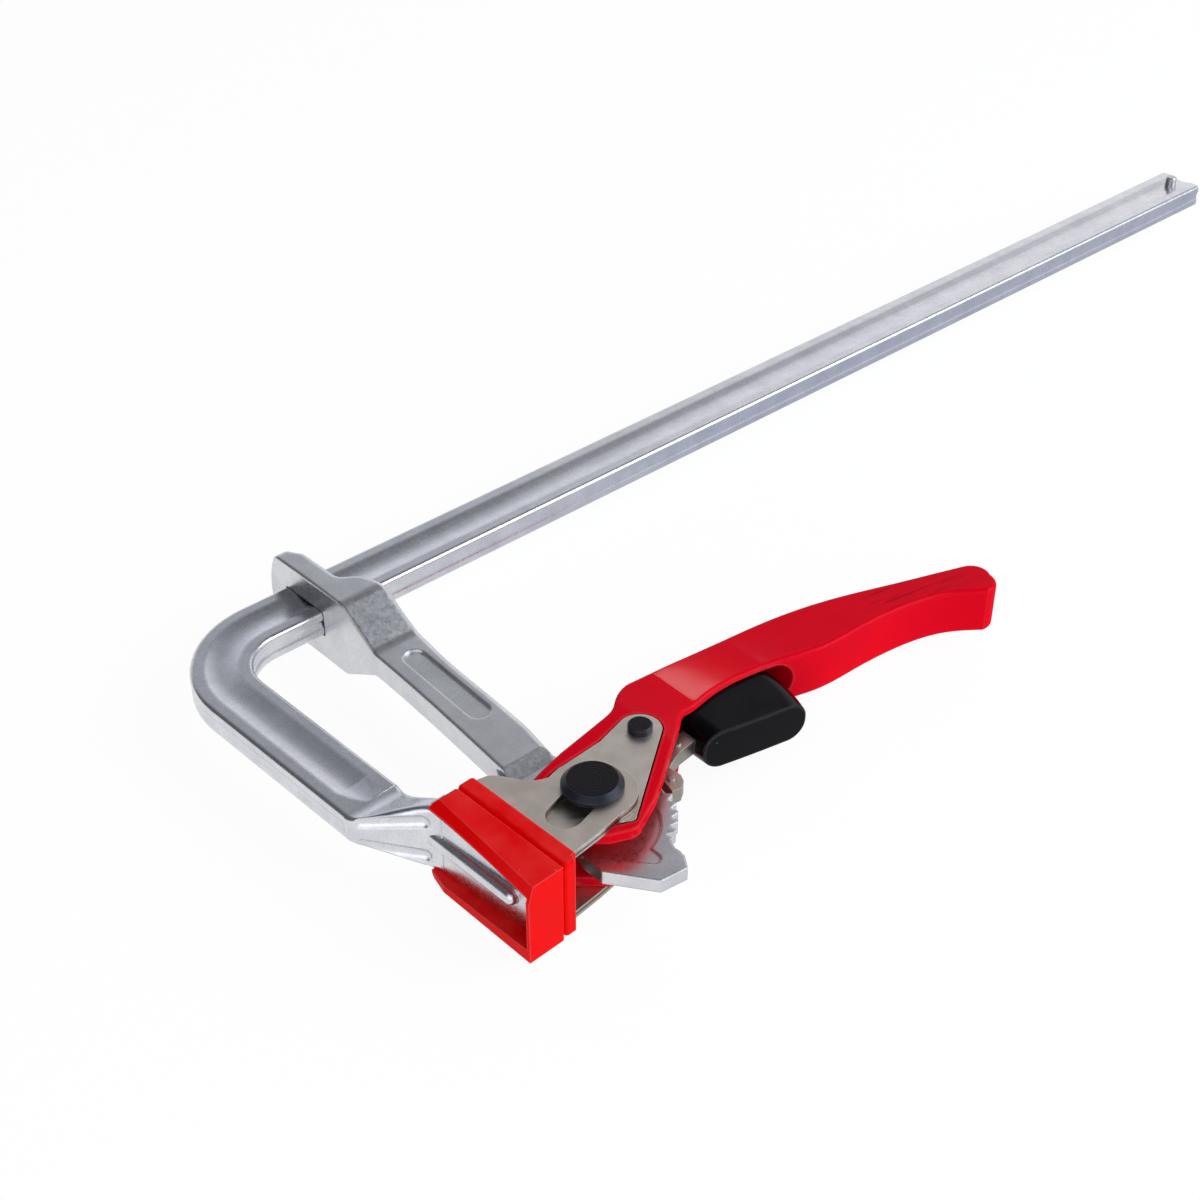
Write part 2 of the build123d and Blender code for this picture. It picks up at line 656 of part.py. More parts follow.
# ================================================================ pawl laminations
stack_rivets = (polar(P, pawl_clear_r + 2.8, -8.5), (75.0, 4.0))
tail_pin_at = (94.0, 3.0)
for i in range(lamination_count):
    name = f"pawl_plate_{i + 1}"
    with BuildPart() as pawl_plate:
        with BuildSketch(Plane.XY.offset(-pawl_half + i * lamination)):
            with BuildLine():
                tip = polar(P, pawl_clear_r, first_tooth)
                p1 = ThreePointArc(tip, polar(P, pawl_clear_r, 0), polar(P, pawl_clear_r, 18.5))
                p2 = ThreePointArc(p1 @ 1, (58.4, 15.2), (65.4, 17.6))
                p3 = Line(p2 @ 1, (72.0, 9.6))
                p4 = Polyline(p3 @ 1, (80.0, 7.4), (104.0, 5.0), (104.0, 0.0), (80.0, 1.2))
                p5 = Polyline(
                    p4 @ 1, (73.2, 0.4), (68.5, -1.2), (64.9, -3.0), (65.4, -6.1), (65.4, -8.0),
                    (64.2, -10.6), (61.2, -12.6),
                )
                Line(p5 @ 1, tip)
            make_face()
            with Locations(Q):
                Circle(rivet_r + running_fit, mode=Mode.SUBTRACT)
            with Locations(*stack_rivets):
                Circle(stack_rivet_r, mode=Mode.SUBTRACT)
            with Locations(tail_pin_at):
                Circle(tail_pin_r, mode=Mode.SUBTRACT)
        extrude(amount=lamination)
    keep(pawl_plate, name)

with BuildPart() as pawl_stack_rivets:
    for spot in stack_rivets:
        with BuildSketch(Plane.XY.offset(-pawl_half - 0.6)):
            with Locations(spot):
                Circle(stack_rivet_r)
        extrude(amount=2 * pawl_half + 1.2)

keep(pawl_stack_rivets, "pawl_stack_rivets")

# ================================================================ pawl spacers on the rivet
with BuildPart() as pawl_spacers:
    for level, direction in ((pawl_half + side_play, 1), (-pawl_half - side_play, -1)):
        with BuildSketch(Plane.XY.offset(level)):
            with Locations(Q):
                Circle(spacer_r)
                Circle(rivet_r, mode=Mode.SUBTRACT)
        extrude(amount=direction * (cheek_in - pawl_half - side_play))

keep(pawl_spacers, "pawl_spacers")

# ================================================================ trigger
with BuildPart() as trigger:
    with BuildSketch(Plane.XY.offset(-trigger_half)):
        with BuildLine():
            low = polar(Q, trigger_end_r, -22.6)
            high = polar(Q, trigger_end_r, 2.0)
            t1 = ThreePointArc((80.0, -3.9), (99.3, -8.6), low)
            t2 = ThreePointArc(t1 @ 1, polar(Q, trigger_end_r, -10), high)
            Polyline(t2 @ 1, (84.0, 17.0), (80.0, 15.0), t1 @ 0)
        make_face()
    extrude(amount=2 * trigger_half)
    ends = trigger.edges().filter_by(lambda e: abs(abs(e.center().Z) - trigger_half) < 0.01)
    fillet(ends.filter_by(lambda e: e.center().X > 118 or e.center().X < 80.5), trigger_round)
    fillet(trigger.faces().sort_by_distance(Vector(99.5, -10.0, 0))[0].edges(), 0.7)
    with BuildSketch(Plane.XY.offset(-pawl_half)):
        with BuildLine():
            Polyline(
                (80.0, 7.4), (104.0, 5.0), (104.0, 0.0), (80.0, 1.2), (70.0, 1.2), (70.0, 7.4), close=True,
            )
        make_face()
    extrude(amount=2 * pawl_half, mode=Mode.SUBTRACT)
    with BuildSketch(Plane.XY.offset(-tail_pin_half)):
        with Locations(tail_pin_at):
            Circle(tail_pin_r)
    extrude(amount=2 * tail_pin_half, mode=Mode.SUBTRACT)
    # Blind seat for the return spring, open upwards into the channel
    with BuildSketch(Plane(origin=(spring_x, spring_low, 0), x_dir=(1, 0, 0), z_dir=(0, 1, 0))):
        Circle(spring_r + spring_room)
    extrude(amount=20, mode=Mode.SUBTRACT)

keep(trigger, "trigger")

with BuildPart() as trigger_pin:
    with BuildSketch(Plane.XY.offset(-tail_pin_half)):
        with Locations(tail_pin_at):
            Circle(tail_pin_r)
    extrude(amount=2 * tail_pin_half)

keep(trigger_pin, "trigger_pin")

# ================================================================ trigger return spring
with BuildPart() as trigger_spring:
    with BuildLine() as coil:
        Helix(
            pitch=spring_pitch, height=spring_high - spring_low - 2 * (spring_wire_r + 0.2), radius=spring_r,
            center=(spring_x, spring_low + spring_wire_r + 0.2, 0), direction=(0, 1, 0),
        )
    with BuildSketch(Plane(origin=coil.line @ 0, z_dir=coil.line % 0)):
        RegularPolygon(spring_wire_r, 6)
    sweep()

keep(trigger_spring, "trigger_spring")
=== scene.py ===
"""Looks of the quick release bar clamp.

Each CAD piece gets its finish, the trigger's spring becomes a coil of round wire, and the clamp lies
on a white floor under a sky and three lamps. Places and sizes are in metres.
"""

import math

import bpy
from mathutils import Matrix, Vector


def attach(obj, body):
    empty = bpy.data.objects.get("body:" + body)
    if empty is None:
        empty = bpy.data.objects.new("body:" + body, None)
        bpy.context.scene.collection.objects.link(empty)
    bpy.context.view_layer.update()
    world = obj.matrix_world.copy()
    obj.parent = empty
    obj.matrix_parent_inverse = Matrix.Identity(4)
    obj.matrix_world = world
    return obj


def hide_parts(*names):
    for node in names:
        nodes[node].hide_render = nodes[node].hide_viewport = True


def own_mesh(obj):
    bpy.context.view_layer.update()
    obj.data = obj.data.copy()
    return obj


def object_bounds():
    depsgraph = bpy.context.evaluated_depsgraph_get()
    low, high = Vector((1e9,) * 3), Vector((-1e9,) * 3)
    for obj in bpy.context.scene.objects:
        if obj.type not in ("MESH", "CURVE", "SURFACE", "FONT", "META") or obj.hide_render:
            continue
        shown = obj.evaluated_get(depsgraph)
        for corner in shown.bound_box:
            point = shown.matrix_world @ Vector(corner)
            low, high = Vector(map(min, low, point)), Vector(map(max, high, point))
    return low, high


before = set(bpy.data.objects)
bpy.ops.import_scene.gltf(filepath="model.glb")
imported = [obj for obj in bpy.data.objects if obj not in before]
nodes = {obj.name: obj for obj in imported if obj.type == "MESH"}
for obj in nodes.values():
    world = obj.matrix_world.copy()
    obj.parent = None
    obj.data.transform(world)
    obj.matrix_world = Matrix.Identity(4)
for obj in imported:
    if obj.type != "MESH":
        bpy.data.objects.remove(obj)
cad_box = [list(corner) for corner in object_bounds()]

# The lever turns about the main pin, and the pawl with its trigger about the pawl rivet
MAIN_PIN = Vector((0.0318, -0.0027, 0.0))
PAWL_RIVET = Vector((0.0640, 0.0104, 0.0))
FLOOR_Z = cad_box[0][2]

# Where along X the casting creases show on the lever's grip, and how far they fade
CREASES_LOW = 0.165
CREASES_HIGH = 0.208
CREASES_FADE = 0.010

# Edge radii that the finishes round off
CAST_EDGE = 0.0007
FORGED_EDGE = 0.0011
SHEET_EDGE = 0.00025
MOULDED_EDGE = 0.0003
EDGE_SAMPLES = 6

# A Mix node's colour sockets share their names with its number sockets, so they go by place
MIX_FIRST = 6
MIX_SECOND = 7
MIX_RESULT = 2

WHITE = (1.0, 1.0, 1.0)


# ---------------------------------------------------------------- node trees

class NodeTree:
    """Short calls that add, set and join the nodes of one tree."""

    def __init__(self, tree):
        self.tree = tree

    def add(self, kind, **settings):
        node = self.tree.nodes.new(kind)
        for name, value in settings.items():
            setattr(node, name, value)
        return node

    def link(self, source, target):
        self.tree.links.new(source, target)

    def fill(self, socket, value):
        """Joins an output to a socket, or sets the socket to a number or a colour."""
        if isinstance(value, bpy.types.NodeSocket):
            self.link(value, socket)
        elif isinstance(value, tuple):
            socket.default_value = (*value, 1.0)
        else:
            socket.default_value = value

    def calculate(self, operation, first, second=None):
        """A Math node over outputs or numbers."""
        node = self.add("ShaderNodeMath", operation=operation)
        for socket, value in zip(node.inputs, (first, second)):
            if value is not None:
                self.fill(socket, value)
        return node.outputs[0]

    def times(self, first, second):
        """Product of two patterns, or of a pattern and a number."""
        return self.calculate("MULTIPLY", first, second)

    def spread(self, source, low, high, start=0.3, end=0.7, **settings):
        """Maps a pattern that runs from start to end onto the range low to high."""
        node = self.add("ShaderNodeMapRange", **settings)
        node.inputs["From Min"].default_value = start
        node.inputs["From Max"].default_value = end
        node.inputs["To Min"].default_value = low
        node.inputs["To Max"].default_value = high
        self.link(source, node.inputs["Value"])
        return node.outputs[0]

    def blend(self, share, first, second):
        """Mixes two colours, or two colour outputs, by a share from 0 to 1."""
        node = self.add("ShaderNodeMix", data_type="RGBA")
        self.link(share, node.inputs[0])
        self.fill(node.inputs[MIX_FIRST], first)
        self.fill(node.inputs[MIX_SECOND], second)
        return node.outputs[MIX_RESULT]

    def axis(self, source, name):
        """One axis of a vector output: X, Y or Z."""
        split = self.add("ShaderNodeSeparateXYZ")
        self.link(source, split.inputs[0])
        return split.outputs[name]

    def cosine(self, source, other):
        """Cosine of the angle between a direction output and another output or vector."""
        dot = self.add("ShaderNodeVectorMath", operation="DOT_PRODUCT")
        self.link(source, dot.inputs[0])
        self.fill(dot.inputs[1], other)
        return dot.outputs["Value"]


class Finish(NodeTree):
    """One node-built finish on a principled shader."""

    def __init__(self, name, colour, metallic, roughness, **more):
        self.material = bpy.data.materials.new(name)
        self.material.use_nodes = True
        super().__init__(self.material.node_tree)
        self.shader = self.tree.nodes["Principled BSDF"]
        self.place = self.add("ShaderNodeTexCoord").outputs["Object"]
        self.put("Base Color", colour)
        self.put("Metallic", metallic)
        self.put("Roughness", roughness)
        for socket, value in more.items():
            self.put(socket.replace("_", " "), value)

    def put(self, socket, value):
        """Sets one of the shader's own sockets to a number or a colour, or joins a pattern to it."""
        self.fill(self.shader.inputs[socket], value)

    def mapped(self, centre=(0, 0, 0), turn=(0, 0, 0), stretch=(1, 1, 1)):
        """Object coordinates about a centre, with features drawn out along turned axes."""
        shift = self.add("ShaderNodeVectorMath", operation="SUBTRACT")
        self.link(self.place, shift.inputs[0])
        shift.inputs[1].default_value = centre
        mapping = self.add("ShaderNodeMapping", vector_type="TEXTURE")
        mapping.inputs["Rotation"].default_value = turn
        mapping.inputs["Scale"].default_value = stretch
        self.link(shift.outputs[0], mapping.inputs["Vector"])
        return mapping.outputs[0]

    def noise(self, size, detail=2.0, rough=0.5, place=None):
        """Noise whose features are about this size."""
        node = self.add("ShaderNodeTexNoise")
        node.inputs["Scale"].default_value = 1.0 / size
        node.inputs["Detail"].default_value = detail
        node.inputs["Roughness"].default_value = rough
        self.link(place or self.place, node.inputs["Vector"])
        return node.outputs["Fac"]

    def rounded(self, radius):
        """Normals of the surface with its edges rounded to this radius."""
        bevel = self.add("ShaderNodeBevel", samples=EDGE_SAMPLES)
        bevel.inputs["Radius"].default_value = radius
        return bevel.outputs[0]

    def normal(self):
        return self.add("ShaderNodeNewGeometry").outputs["Normal"]

    def rim(self, radius):
        """0 to 1 mask along edges sharper than this radius."""
        return self.spread(self.cosine(self.rounded(radius), self.normal()), 1.0, 0.0, 0.90, 0.995)

    def between(self, axis, low, high, fade):
        """0 to 1 mask where an object coordinate, on either side of zero, is from low to high."""
        size = self.calculate("ABSOLUTE", self.axis(self.place, axis))
        rise = self.spread(size, 0.0, 1.0, low - fade, low + fade)
        fall = self.spread(size, 1.0, 0.0, high - fade, high + fade)
        return self.times(rise, fall)

    def level(self):
        """How far a face looks up or down, from 0 for an upright one to 1."""
        return self.calculate("ABSOLUTE", self.axis(self.normal(), "Z"))

    def upright(self):
        """0 to 1 mask over faces that stand upright, such as a sheet's cut edges."""
        return self.spread(self.level(), 1.0, 0.0, 0.25, 0.6)

    def flat(self):
        """0 to 1 mask over faces that look up or down."""
        return self.spread(self.level(), 0.0, 1.0, 0.85, 0.97)

    def relief(self, layers, edge):
        """Stacks bumps, each (pattern, strength, height), on edges rounded to this radius."""
        surface = self.rounded(edge)
        for pattern, strength, height in layers:
            bump = self.add("ShaderNodeBump")
            bump.inputs["Strength"].default_value = strength
            bump.inputs["Distance"].default_value = height
            self.link(pattern, bump.inputs["Height"])
            self.link(surface, bump.inputs["Normal"])
            surface = bump.outputs[0]
        self.put("Normal", surface)


# ---------------------------------------------------------------- finishes

def darker(colour, share):
    return tuple(share * channel for channel in colour)


def galvanised(name, dark, light, rough_low, rough_high, edge):
    """Zinc on forged steel: fine grain, soft clouds and a satin gloss."""
    made = Finish(name, light, metallic=1.0, roughness=0.3)
    clouds = made.noise(size=0.010, detail=5.0, rough=0.62)
    grain = made.noise(size=0.0007)
    pits = made.noise(size=0.0017, detail=3.0, rough=0.6)
    tone = made.blend(made.spread(clouds, 0.0, 1.0), dark, light)
    speckle = made.spread(grain, 0.0, 0.35, start=0.42, end=0.72)
    made.put("Base Color", made.blend(speckle, tone, darker(dark, 0.8)))
    made.put("Roughness", made.spread(pits, rough_low, rough_high))
    made.relief([(clouds, 0.03, 0.0005), (pits, 0.02, 0.00016), (grain, 0.075, 0.00005)], edge)
    return made.material


def plated(name, dark, light, rolled, shear_low, shear_high):
    """Nickel-plated sheet: warm satin grey, with faint scratches along the angle it was rolled at.

    Its cut edges are torn and darker, most of all in a shear band between two heights from the
    middle of the clamp.
    """
    made = Finish(name, light, metallic=1.0, roughness=0.4)
    along_roll = made.mapped(turn=(0, 0, rolled), stretch=(20.0, 1.0, 1.0))
    scratches = made.noise(size=0.0009, detail=3.0, place=along_roll)
    clouds = made.noise(size=0.008, detail=3.0)
    grain = made.noise(size=0.0005)
    tear = made.noise(size=0.0008, detail=3.0, place=made.mapped(stretch=(1.0, 1.0, 3.3)))
    cut = made.upright()
    band = made.times(cut, made.between("Z", shear_low, shear_high, fade=0.00012))
    tone = made.blend(made.spread(clouds, 0.0, 1.0), dark, light)
    tone = made.blend(made.times(cut, 0.8), tone, darker(dark, 0.50))
    made.put("Base Color", made.blend(made.times(band, 0.85), tone, (0.07, 0.06, 0.05)))
    made.put("Roughness", made.spread(scratches, 0.34, 0.48))
    torn = made.times(tear, cut)
    made.relief([(scratches, 0.05, 0.00005), (grain, 0.14, 0.00005), (torn, 0.5, 0.0001)], SHEET_EDGE)
    return made.material


def black_oxide(name, centre):
    """Blackened turned steel with fine tool rings about its own axis, with a painted reflection on
    its upright faces and a painted highlight along its edges.
    """
    made = Finish(name, (0.012, 0.014, 0.020), metallic=0.4, roughness=0.32, Specular_IOR_Level=0.25)
    rings = made.add("ShaderNodeTexWave", wave_type="RINGS", rings_direction="Z")
    rings.inputs["Scale"].default_value = 230.0
    rings.inputs["Distortion"].default_value = 5.0
    rings.inputs["Detail"].default_value = 3.0
    made.link(made.mapped(centre=centre), rings.inputs["Vector"])
    grain = made.noise(size=0.0007, detail=3.0)
    face = made.flat()
    turned = made.times(rings.outputs["Fac"], made.spread(made.noise(size=0.004), 0.15, 1.0))
    top = made.blend(turned, (0.010, 0.009, 0.010), (0.004, 0.0035, 0.004))
    # Painted reflection: upright faces, such as the chamfer, take a lighter bluish colour than the
    # dark flat turned faces
    skin = made.blend(face, (0.022, 0.025, 0.035), top)
    # Painted highlight: a lighter bluish line along the sharp edges
    edge_glint = made.times(made.rim(0.0005), 0.5)
    made.put("Base Color", made.blend(edge_glint, skin, (0.12, 0.125, 0.15)))
    made.put("Roughness", made.spread(grain, 0.26, 0.40))
    made.relief([(made.times(face, turned), 0.16, 0.0002), (grain, 0.20, 0.00006)], SHEET_EDGE)
    return made.material


def enamel(name):
    """Glossy red enamel on a casting: a slight orange peel, casting creases on the grip, and a
    painted highlight along the edges.
    """
    made = Finish(
        name, (0.82, 0.0002, 0.013), metallic=0.0, roughness=0.45,
        Specular_IOR_Level=0.0, Coat_Weight=0.11, Coat_Roughness=0.06,
    )
    peel = made.noise(size=0.0035)
    along_grip = made.mapped(turn=(0, 0, -0.16), stretch=(12.0, 1.0, 2.5))
    ripple = made.noise(size=0.0020, detail=3.0, rough=0.6, place=along_grip)
    lines = made.spread(ripple, 1.0, 0.0, start=0.32, end=0.44)
    grip_end = made.between("X", CREASES_LOW, CREASES_HIGH, CREASES_FADE)
    creases = made.times(made.times(lines, grip_end), made.flat())
    tone = made.spread(made.noise(size=0.03), 0.0, 1.0)
    base = made.blend(tone, (0.77, 0.0002, 0.015), (0.88, 0.0002, 0.011))
    # Painted highlight: a pinkish-white line along the sharper edges
    base = made.blend(made.times(made.rim(0.0018), 0.5), base, (0.95, 0.07, 0.08))
    made.put("Base Color", made.blend(made.times(creases, 0.6), base, (0.30, 0.0002, 0.004)))
    made.relief([(peel, 0.06, 0.0003), (creases, 0.35, 0.0003)], CAST_EDGE)
    return made.material


def moulded(name, colour, light, roughness, skin_bump, specular, top_sheen, edge_highlight_colour, rim_radius):
    """Moulded plastic: faint skin texture, a painted sheen on flat faces, painted highlights along
    the edges and a few painted glint specks.
    """
    made = Finish(name, colour, metallic=0.0, roughness=roughness, Specular_IOR_Level=specular)
    skin = made.noise(size=0.0011)
    flow = made.noise(size=0.011)
    # Painted sheen: a lighter colour over patches of the faces that look up or down
    painted_top_sheen = made.times(made.flat(), made.spread(flow, 0.0, 0.45, start=0.30, end=0.75))
    # Painted glints: tiny specks in the edge highlight colour, where small pips would catch the light
    specks = made.add("ShaderNodeTexVoronoi")
    specks.inputs["Scale"].default_value = 110.0
    made.link(made.place, specks.inputs["Vector"])
    speck_glints = made.spread(specks.outputs["Distance"], 0.8, 0.0, start=0.035, end=0.055)
    base = made.blend(made.spread(flow, 0.0, 1.0), colour, light)
    base = made.blend(painted_top_sheen, base, top_sheen)
    base = made.blend(speck_glints, base, edge_highlight_colour)
    # Painted highlight: a lighter line along the edges
    edge_highlight = made.times(made.rim(rim_radius), 0.55)
    made.put("Base Color", made.blend(edge_highlight, base, edge_highlight_colour))
    made.put("Roughness", made.spread(flow, roughness - 0.04, roughness + 0.05))
    made.relief([(skin, skin_bump, 0.00005), (flow, skin_bump, 0.0002)], MOULDED_EDGE)
    return made.material


def jaw_cap(name, colour, light):
    """Soft red plastic of the two jaw caps."""
    return moulded(
        name, colour, light, roughness=0.42, skin_bump=0.10, specular=0.06,
        top_sheen=(1.0, 0.06, 0.055), edge_highlight_colour=(1.0, 0.14, 0.15), rim_radius=0.0007,
    )


def plain_steel(name, colour, rough_low, rough_high):
    """Bright steel of small inner pieces."""
    made = Finish(name, colour, metallic=1.0, roughness=rough_low)
    grain = made.noise(size=0.0006, detail=3.0)
    made.put("Roughness", made.spread(grain, rough_low, rough_high))
    made.relief([(grain, 0.2, 0.00008)], SHEET_EDGE)
    return made.material


finishes = {
    "galvanised": galvanised(
        "galvanised_bar", dark=(0.60, 0.61, 0.645), light=(0.745, 0.75, 0.785),
        rough_low=0.21, rough_high=0.30, edge=CAST_EDGE,
    ),
    "galvanised_arm": galvanised(
        "galvanised_forging", dark=(0.60, 0.61, 0.63), light=(0.74, 0.745, 0.765),
        rough_low=0.26, rough_high=0.37, edge=FORGED_EDGE,
    ),
    "nickel": plated(
        "nickel_bracket", dark=(0.64, 0.57, 0.49), light=(0.80, 0.72, 0.63),
        rolled=0.5, shear_low=0.0122, shear_high=0.0132,
    ),
    "nickel_plate": plated(
        "nickel_side_plates", dark=(0.64, 0.58, 0.51), light=(0.80, 0.73, 0.65),
        rolled=-0.4, shear_low=0.0098, shear_high=0.0105,
    ),
    # The laminations are too thin for a shear band, so theirs lies clear of them
    "pawl_steel": plated(
        "pawl_laminations", dark=(0.56, 0.51, 0.44), light=(0.70, 0.64, 0.56),
        rolled=1.1, shear_low=0.0500, shear_high=0.0501,
    ),
    "black_oxide": black_oxide("black_main_pin", MAIN_PIN),
    "black_oxide_rivet": black_oxide("black_pawl_rivet", PAWL_RIVET),
    "red_enamel": enamel("red_enamel_lever"),
    "cap_plastic": jaw_cap("red_cap_fixed", (0.94, 0.0003, 0.001), (1.0, 0.0005, 0.0014)),
    "cap_plastic_moving": jaw_cap("red_cap_moving", (0.92, 0.0003, 0.001), (0.99, 0.0005, 0.0014)),
    "trigger_plastic": moulded(
        "black_trigger", colour=(0.0012, 0.0012, 0.0016), light=(0.0018, 0.0018, 0.0022),
        roughness=0.22, skin_bump=0.01, specular=0.10, top_sheen=(0.010, 0.010, 0.012),
        edge_highlight_colour=(0.26, 0.27, 0.30), rim_radius=0.0012,
    ),
    "steel_pin": plain_steel("steel_pins", (0.55, 0.55, 0.57), 0.25, 0.42),
    "spring_steel": plain_steel("spring_wire", (0.45, 0.45, 0.47), 0.22, 0.35),
}
for node in nodes.values():
    for holder in node.material_slots:
        holder.material = finishes[holder.material.name.split(".")[0]]

# ---------------------------------------------------------------- trigger's coil spring

# It stands along Y in the lever's channel, from its seat in the trigger up to the lever
SPRING_X = 0.1030
SPRING_LOW = 0.0080
SPRING_HIGH = 0.0262
COIL_RADIUS = 0.0029
WIRE_RADIUS = 0.00045
SPRING_END_GAP = 0.0002
SPRING_TURNS = 8.5
SPRING_END_CLOSING = 0.5
STEPS_PER_TURN = 40
WIRE_SIDES = 12


def coil_spring_tree(material):
    """Geometry Nodes tree of a round-wire coil along Y whose pitch closes up towards both ends.

    Returns the tree and the identifiers of its inputs by name.
    """
    group = bpy.data.node_groups.new("coil_spring", "GeometryNodeTree")
    coil = NodeTree(group)
    sockets = {}
    for label in ("Coil Radius", "Wire Radius", "Height", "Turns", "End Closing"):
        size = group.interface.new_socket(label, in_out="INPUT", socket_type="NodeSocketFloat")
        sockets[label] = size.identifier
    foot = group.interface.new_socket("Foot", in_out="INPUT", socket_type="NodeSocketVector")
    sockets["Foot"] = foot.identifier
    group.interface.new_socket("Geometry", in_out="OUTPUT", socket_type="NodeSocketGeometry")
    given = coil.add("NodeGroupInput").outputs

    # An even spiral about Z
    spiral = coil.add("GeometryNodeCurveSpiral")
    spiral.inputs["Resolution"].default_value = STEPS_PER_TURN
    coil.link(given["Turns"], spiral.inputs["Rotations"])
    coil.link(given["Coil Radius"], spiral.inputs["Start Radius"])
    coil.link(given["Coil Radius"], spiral.inputs["End Radius"])
    coil.link(given["Height"], spiral.inputs["Height"])

    # Its points move towards the ends by a sine wave over the height
    along = coil.add("GeometryNodeSplineParameter").outputs["Factor"]
    wave = coil.calculate("SINE", coil.times(along, math.tau))
    swing = coil.times(coil.times(given["Height"], given["End Closing"]), -1.0 / math.tau)
    offset = coil.add("ShaderNodeCombineXYZ")
    coil.link(coil.times(wave, swing), offset.inputs["Z"])
    closed = coil.add("GeometryNodeSetPosition")
    coil.link(spiral.outputs["Curve"], closed.inputs["Geometry"])
    coil.link(offset.outputs[0], closed.inputs["Offset"])

    # Round wire along it
    wire = coil.add("GeometryNodeCurvePrimitiveCircle")
    wire.inputs["Resolution"].default_value = WIRE_SIDES
    coil.link(given["Wire Radius"], wire.inputs["Radius"])
    swept = coil.add("GeometryNodeCurveToMesh")
    swept.inputs["Fill Caps"].default_value = True
    coil.link(closed.outputs["Geometry"], swept.inputs["Curve"])
    coil.link(wire.outputs["Curve"], swept.inputs["Profile Curve"])

    # Stood up along Y on its foot
    stood = coil.add("GeometryNodeTransform")
    stood.inputs["Rotation"].default_value = (-math.pi / 2, 0.0, 0.0)
    coil.link(swept.outputs["Mesh"], stood.inputs["Geometry"])
    coil.link(given["Foot"], stood.inputs["Translation"])
    smooth = coil.add("GeometryNodeSetShadeSmooth")
    real = coil.add("GeometryNodeRealizeInstances")
    finish = coil.add("GeometryNodeSetMaterial")
    finish.inputs["Material"].default_value = material
    last = coil.add("NodeGroupOutput")
    chain = (stood, smooth, real, finish, last)
    for source, target in zip(chain, chain[1:]):
        coil.link(source.outputs["Geometry"], target.inputs["Geometry"])
    return group, sockets


spring = bpy.data.objects.new("coil_spring", bpy.data.meshes.new("coil_spring_start"))
bpy.context.scene.collection.objects.link(spring)
winding = spring.modifiers.new("winding", "NODES")
winding.node_group, sockets = coil_spring_tree(finishes["spring_steel"])
foot_y = SPRING_LOW + WIRE_RADIUS + SPRING_END_GAP
winding[sockets["Coil Radius"]] = COIL_RADIUS
winding[sockets["Wire Radius"]] = WIRE_RADIUS
winding[sockets["Height"]] = SPRING_HIGH - WIRE_RADIUS - SPRING_END_GAP - foot_y
winding[sockets["Turns"]] = SPRING_TURNS
winding[sockets["End Closing"]] = SPRING_END_CLOSING
winding[sockets["Foot"]] = (SPRING_X, foot_y, 0.0)
view = bpy.context.evaluated_depsgraph_get()
wound = bpy.data.meshes.new_from_object(spring.evaluated_get(view), depsgraph=view)
spring.modifiers.remove(winding)
spring.data = wound
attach(spring, "lever_unit")
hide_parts("trigger_spring")
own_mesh(spring)

# ---------------------------------------------------------------- floor

FLOOR_HALF = 4.0
PAPER_COLOUR = (0.90, 0.90, 0.90)
PAPER_GLOW = 1.04
PAPER_GLOW_SHARE = 0.90
# What metal mirrors of the floor dims to this colour along the bar, over this stretch of X
MIRRORED_COLOUR = (0.52, 0.54, 0.64)
MIRRORED_START = -0.02
MIRRORED_END = 0.24


def white_paper():
    """Matte white that keeps the shadows, and glows for the camera and for mirrored rays."""
    material = bpy.data.materials.new("white_paper")
    material.use_nodes = True
    paper = NodeTree(material.node_tree)
    paper.tree.nodes.remove(paper.tree.nodes["Principled BSDF"])
    rays = paper.add("ShaderNodeLightPath").outputs
    place = paper.add("ShaderNodeTexCoord").outputs["Object"]
    along_bar = paper.spread(paper.axis(place, "X"), 0.0, 1.0, MIRRORED_START, MIRRORED_END)
    mirrored = paper.times(along_bar, rays["Is Glossy Ray"])
    matte = paper.add("ShaderNodeBsdfDiffuse")
    paper.fill(matte.inputs["Color"], PAPER_COLOUR)
    glow = paper.add("ShaderNodeEmission")
    paper.fill(glow.inputs["Strength"], PAPER_GLOW)
    paper.link(paper.blend(mirrored, WHITE, MIRRORED_COLOUR), glow.inputs["Color"])
    seen = paper.calculate("MAXIMUM", rays["Is Camera Ray"], rays["Is Glossy Ray"])
    seen = paper.calculate("MAXIMUM", seen, rays["Is Transmission Ray"])
    surface = paper.add("ShaderNodeMixShader")
    paper.link(paper.times(seen, PAPER_GLOW_SHARE), surface.inputs[0])
    paper.link(matte.outputs[0], surface.inputs[1])
    paper.link(glow.outputs[0], surface.inputs[2])
    paper.link(surface.outputs[0], paper.tree.nodes["Material Output"].inputs["Surface"])
    return material


floor_mesh = bpy.data.meshes.new("floor")
corners = [(-1, -1), (1, -1), (1, 1), (-1, 1)]
floor_mesh.from_pydata(
    [(x * FLOOR_HALF, y * FLOOR_HALF, FLOOR_Z) for x, y in corners], [], [(0, 1, 2, 3)],
)
floor_mesh.materials.append(white_paper())
floor = bpy.data.objects.new("floor", floor_mesh)
bpy.context.scene.collection.objects.link(floor)

# ---------------------------------------------------------------- sky

# Brightness by the height that a ray looks at, from the horizon to straight up
SKY_LEVELS = [(0.0, 0.98), (0.15, 0.97), (0.35, 0.86), (0.60, 0.46), (0.84, 0.17), (1.0, 0.15)]
SKY_HUE = (0.955, 0.98, 1.06)

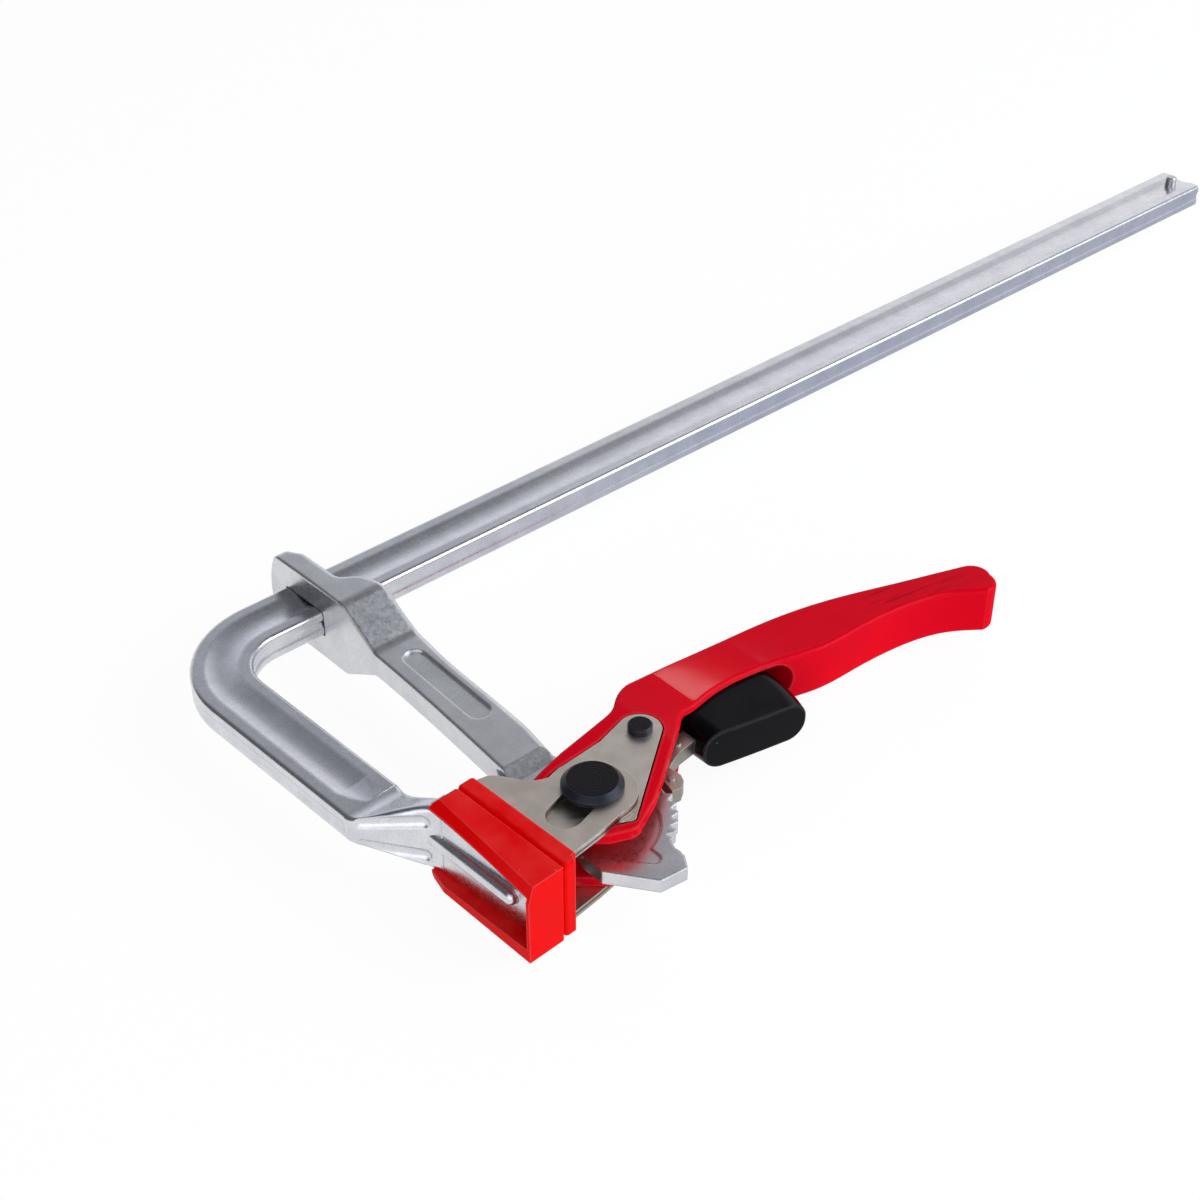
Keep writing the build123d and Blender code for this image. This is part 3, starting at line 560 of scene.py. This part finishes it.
world = bpy.data.worlds.new("studio")
bpy.context.scene.world = world
world.use_nodes = True
sky = NodeTree(world.node_tree)
direction = sky.add("ShaderNodeTexCoord").outputs["Generated"]
height = sky.add("ShaderNodeValToRGB")
sky.link(sky.axis(direction, "Z"), height.inputs[0])
horizon, *rising, overhead = SKY_LEVELS
ramp = height.color_ramp.elements
for end, (position, level) in zip((ramp[0], ramp[1]), (horizon, overhead)):
    end.position = position
    end.color = (level, level, level, 1.0)
for position, level in rising:
    ramp.new(position).color = (*(hue * level for hue in SKY_HUE), 1.0)


def tint_sky(source, towards, inner, outer, colour):
    """Mixes a colour into the sky about a direction, fading between two cosines of the angle."""
    near = sky.cosine(direction, Vector(towards).normalized())
    near = sky.spread(near, 0.0, 1.0, outer, inner, interpolation_type="SMOOTHSTEP")
    return sky.blend(near, source, colour)


lit = tint_sky(height.outputs[0], (-0.66, 0.58, 0.48), 0.93, 0.68, (0.12, 0.12, 0.135))
lit = tint_sky(lit, (0.82, 0.44, 0.36), 0.99, 0.88, (1.04, 1.03, 1.06))
camera_ray = sky.add("ShaderNodeLightPath").outputs["Is Camera Ray"]
background = sky.tree.nodes["Background"]
sky.link(sky.blend(camera_ray, lit, WHITE), background.inputs["Color"])
sky.fill(background.inputs["Strength"], 1.0)

# ---------------------------------------------------------------- lamps and camera

MIDDLE = (0.18, 0.06, 0.0)
SHOULDER = (0.0920, 0.0200, 0.0107)


def stand(thing, place, right, up, back):
    """Puts a lamp or a camera in its place, looking away from its back."""
    turned = Matrix((right, up, back)).transposed().to_4x4()
    thing.matrix_world = Matrix.Translation(place) @ turned
    bpy.context.scene.collection.objects.link(thing)


def softbox(name, place, aim, size, power, colour=WHITE, along=(0.0, 0.0, 1.0)):
    """A soft lamp that faces the aim point, with its second side along a direction."""
    data = bpy.data.lights.new(name, "AREA")
    data.shape = "RECTANGLE"
    data.size, data.size_y = size
    data.energy = power
    data.color = colour
    lamp = bpy.data.objects.new(name, data)
    back = (Vector(place) - Vector(aim)).normalized()
    right = Vector(along).cross(back).normalized()
    stand(lamp, place, right, back.cross(right), back)
    return lamp


softbox("key_box", (1.00, -0.90, 0.95), MIDDLE, (1.3, 1.1), power=14.0, colour=(0.88, 0.94, 1.0))
softbox("side_box", (-0.95, -0.60, 0.55), MIDDLE, (1.5, 1.3), power=4.0)
strip = softbox(
    "strip_box", (0.945, 0.865, 0.950), SHOULDER, (0.030, 0.30), power=0.54,
    along=(0.27, -0.96, 0.0),
)
# The strip is a glint on the lever's shoulder alone; on the satin zinc it would only sparkle
glinting = bpy.data.collections.new("strip_box_receivers")
glinting.objects.link(nodes["lever"])
strip.light_linking.receiver_collection = glinting

camera_data = bpy.data.cameras.new("camera")
camera_data.lens = 60.3
camera_data.sensor_width = 36.0
camera_data.clip_start = 0.01
camera = bpy.data.objects.new("camera", camera_data)
stand(
    camera, place=(-0.27775, -0.35721, 0.44129),
    right=(0.74993, -0.66152, 0.0), up=(0.39733, 0.45044, 0.79952),
    back=(-0.52890, -0.59959, 0.60064),
)
bpy.context.scene.camera = camera
bpy.context.scene.view_settings.view_transform = "Standard"
